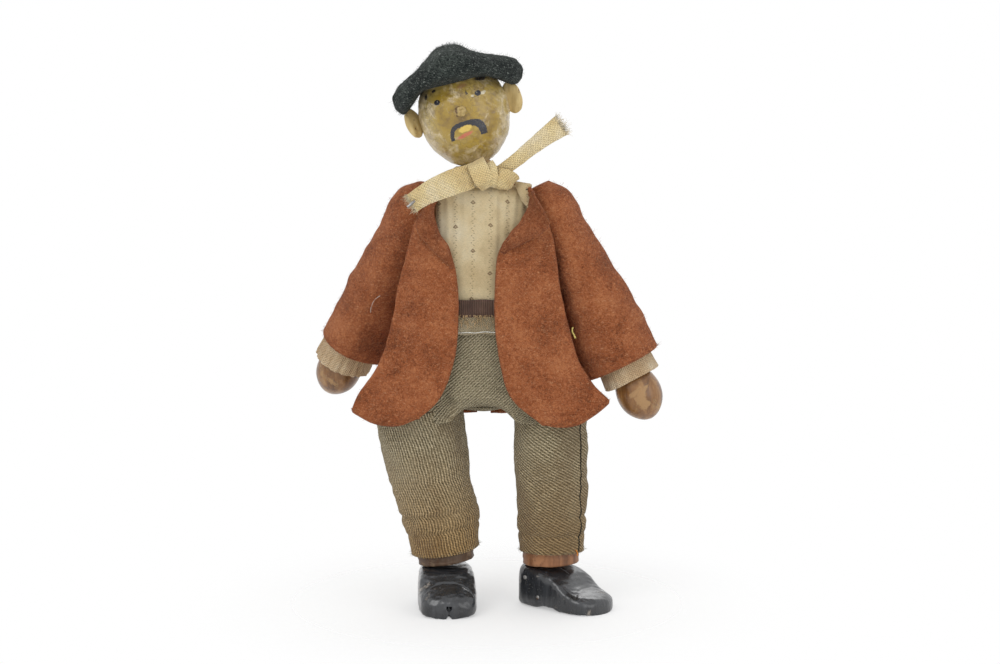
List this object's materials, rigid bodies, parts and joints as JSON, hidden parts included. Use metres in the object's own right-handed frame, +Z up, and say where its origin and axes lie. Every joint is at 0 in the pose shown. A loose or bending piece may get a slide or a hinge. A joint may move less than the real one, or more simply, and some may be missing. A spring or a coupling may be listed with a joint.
{
  "type": "jointed wooden doll",
  "caption": "Elastic-strung turned wooden doll in felt tail coat, beret, neckerchief, shirt and twill trousers; head, arms, legs and feet turn and it stands on its shoes.",
  "frame": {"origin": "middle of the footprint box on the ground under the shoes", "axes": "+Z up, the doll faces -Y, and its right hand is on the -X side"},
  "size_m": [0.1253, 0.06, 0.2014],
  "materials": {
    "bare_wood": "bare",
    "belt_cloth": "matt",
    "beret_felt": "felt",
    "black_wood": "worn black paint",
    "brown_wood": "varnish",
    "coat_felt": "felt",
    "ear_wood": "bare",
    "elastic": "covered elastic",
    "painted_wood": "cracked glossy paint",
    "shirt_cotton": "printed cotton",
    "steel": "plain wire",
    "tape_cotton": "woven tape",
    "trouser_twill": "coarse twill"
  },
  "bodies": {
    "torso": {"torso": "bare_wood", "shirt_body": "shirt_cotton", "shirt_pleat": "shirt_cotton", "belt": "belt_cloth", "trouser_seat": "trouser_twill", "trouser_crotch": "trouser_twill", "coat_back": "coat_felt", "coat_tail_right": "coat_felt", "coat_tail_left": "coat_felt", "coat_front_right": "coat_felt", "coat_front_left": "coat_felt", "lapel_right": "coat_felt", "lapel_left": "coat_felt", "neckerchief_loop": "tape_cotton", "neckerchief_knot": "tape_cotton", "neckerchief_bow": "tape_cotton", "neckerchief_tail_right": "tape_cotton", "neckerchief_tail_left": "tape_cotton", "neckerchief_pin": "steel"},
    "neck_stem": {"neck_cord": "elastic"},
    "neck_bead": {"neck_ball": "bare_wood"},
    "head": {"head": "painted_wood", "ear_right": "ear_wood", "ear_left": "ear_wood", "nose": "painted_wood", "beret": "beret_felt"},
    "shoulder_stem_right": {"shoulder_cord_right": "elastic"},
    "arm_right": {"arm_right": "brown_wood", "shoulder_pin_right": "steel", "sleeve_right": "coat_felt", "sleeve_head_right": "coat_felt", "cuff_right": "shirt_cotton"},
    "hip_stem_right": {"hip_cord_right": "elastic"},
    "leg_right": {"leg_right": "brown_wood", "hip_pin_right": "steel", "trouser_leg_right": "trouser_twill"},
    "ankle_stem_right": {"ankle_cord_right": "elastic"},
    "foot_right": {"shoe_right": "black_wood"},
    "shoulder_stem_left": {"shoulder_cord_left": "elastic"},
    "arm_left": {"arm_left": "brown_wood", "shoulder_pin_left": "steel", "sleeve_left": "coat_felt", "sleeve_head_left": "coat_felt", "cuff_left": "shirt_cotton"},
    "hip_stem_left": {"hip_cord_left": "elastic"},
    "leg_left": {"leg_left": "brown_wood", "hip_pin_left": "steel", "trouser_leg_left": "trouser_twill"},
    "ankle_stem_left": {"ankle_cord_left": "elastic"},
    "foot_left": {"shoe_left": "black_wood"}
  },
  "joints": [
    {"name": "head_turn", "type": "hinge", "parent": "torso", "child": "neck_stem", "pos_m": [-0.0024, -0.0054, 0.15401], "axis": [0, 0, 1], "range_deg": [-40, 40], "deforming": ["neckerchief_loop", "neckerchief_knot", "neckerchief_bow", "neckerchief_tail_right", "neckerchief_tail_left"]},
    {"name": "head_nod", "type": "hinge", "parent": "neck_stem", "child": "neck_bead", "pos_m": [-0.0024, -0.0054, 0.15401], "axis": [1, 0, 0], "range_deg": [-12, 12], "deforming": ["neckerchief_loop", "neckerchief_knot", "neckerchief_bow", "neckerchief_tail_right", "neckerchief_tail_left"]},
    {"name": "head_tilt", "type": "hinge", "parent": "neck_bead", "child": "head", "pos_m": [-0.0024, -0.0054, 0.15401], "axis": [0, 1, 0], "range_deg": [-8, 28], "deforming": ["neckerchief_loop", "neckerchief_knot", "neckerchief_bow", "neckerchief_tail_right", "neckerchief_tail_left"]},
    {"name": "arm_swing_right", "type": "hinge", "parent": "torso", "child": "shoulder_stem_right", "pos_m": [-0.0247, -0.0054, 0.142], "axis": [1, 0, 0], "range_deg": [-114, 16], "deforming": ["sleeve_head_right", "coat_front_right", "lapel_right", "coat_tail_right", "neckerchief_tail_right", "neckerchief_pin"]},
    {"name": "arm_lift_right", "type": "hinge", "parent": "shoulder_stem_right", "child": "arm_right", "pos_m": [-0.0247, -0.0054, 0.142], "axis": [0, 0.9135, 0.4067], "range_deg": [-2, 62], "deforming": ["sleeve_head_right", "coat_front_right", "lapel_right", "coat_tail_right", "neckerchief_tail_right", "neckerchief_pin"]},
    {"name": "arm_swing_left", "type": "hinge", "parent": "torso", "child": "shoulder_stem_left", "pos_m": [0.0223, -0.0054, 0.142], "axis": [1, 0, 0], "range_deg": [-90, 40], "deforming": ["sleeve_head_left", "coat_front_left", "lapel_left", "coat_tail_left", "neckerchief_tail_left"]},
    {"name": "arm_lift_left", "type": "hinge", "parent": "shoulder_stem_left", "child": "arm_left", "pos_m": [0.0223, -0.0054, 0.142], "axis": [0, 1, 0], "range_deg": [-62, 2], "deforming": ["sleeve_head_left", "coat_front_left", "lapel_left", "coat_tail_left", "neckerchief_tail_left"]},
    {"name": "leg_swing_right", "type": "hinge", "parent": "torso", "child": "hip_stem_right", "pos_m": [-0.0232, -0.0054, 0.07801], "axis": [1, 0, 0], "range_deg": [-80, 12], "deforming": ["trouser_seat", "trouser_crotch", "coat_front_right", "coat_tail_right"]},
    {"name": "leg_splay_right", "type": "hinge", "parent": "hip_stem_right", "child": "leg_right", "pos_m": [-0.0232, -0.0054, 0.07801], "axis": [0, 1, 0], "range_deg": [-2, 14], "deforming": ["trouser_seat", "trouser_crotch", "coat_front_right", "coat_tail_right"]},
    {"name": "foot_turn_right", "type": "hinge", "parent": "leg_right", "child": "ankle_stem_right", "pos_m": [-0.01481, -0.0054, 0.01829], "axis": [-0.1392, 0, 0.9903], "range_deg": [-40, 10]},
    {"name": "foot_tilt_right", "type": "hinge", "parent": "ankle_stem_right", "child": "foot_right", "pos_m": [-0.01481, -0.0054, 0.01829], "axis": [0.9976, 0.0698, 0], "range_deg": [-4, 4]},
    {"name": "leg_swing_left", "type": "hinge", "parent": "torso", "child": "hip_stem_left", "pos_m": [0.0208, -0.0054, 0.07801], "axis": [1, 0, 0], "range_deg": [-80, 12], "deforming": ["trouser_seat", "trouser_crotch", "coat_front_left", "coat_tail_left"]},
    {"name": "leg_splay_left", "type": "hinge", "parent": "hip_stem_left", "child": "leg_left", "pos_m": [0.0208, -0.0054, 0.07801], "axis": [0, 1, 0], "range_deg": [-14, 4], "deforming": ["trouser_seat", "trouser_crotch", "coat_front_left", "coat_tail_left"]},
    {"name": "foot_turn_left", "type": "hinge", "parent": "leg_left", "child": "ankle_stem_left", "pos_m": [0.0229, -0.0054, 0.01774], "axis": [-0.0349, 0, 0.9994], "range_deg": [-48, 10]},
    {"name": "foot_tilt_left", "type": "hinge", "parent": "ankle_stem_left", "child": "foot_left", "pos_m": [0.0229, -0.0054, 0.01774], "axis": [0.6691, 0.7431, 0], "range_deg": [-4, 4]}
  ]
}
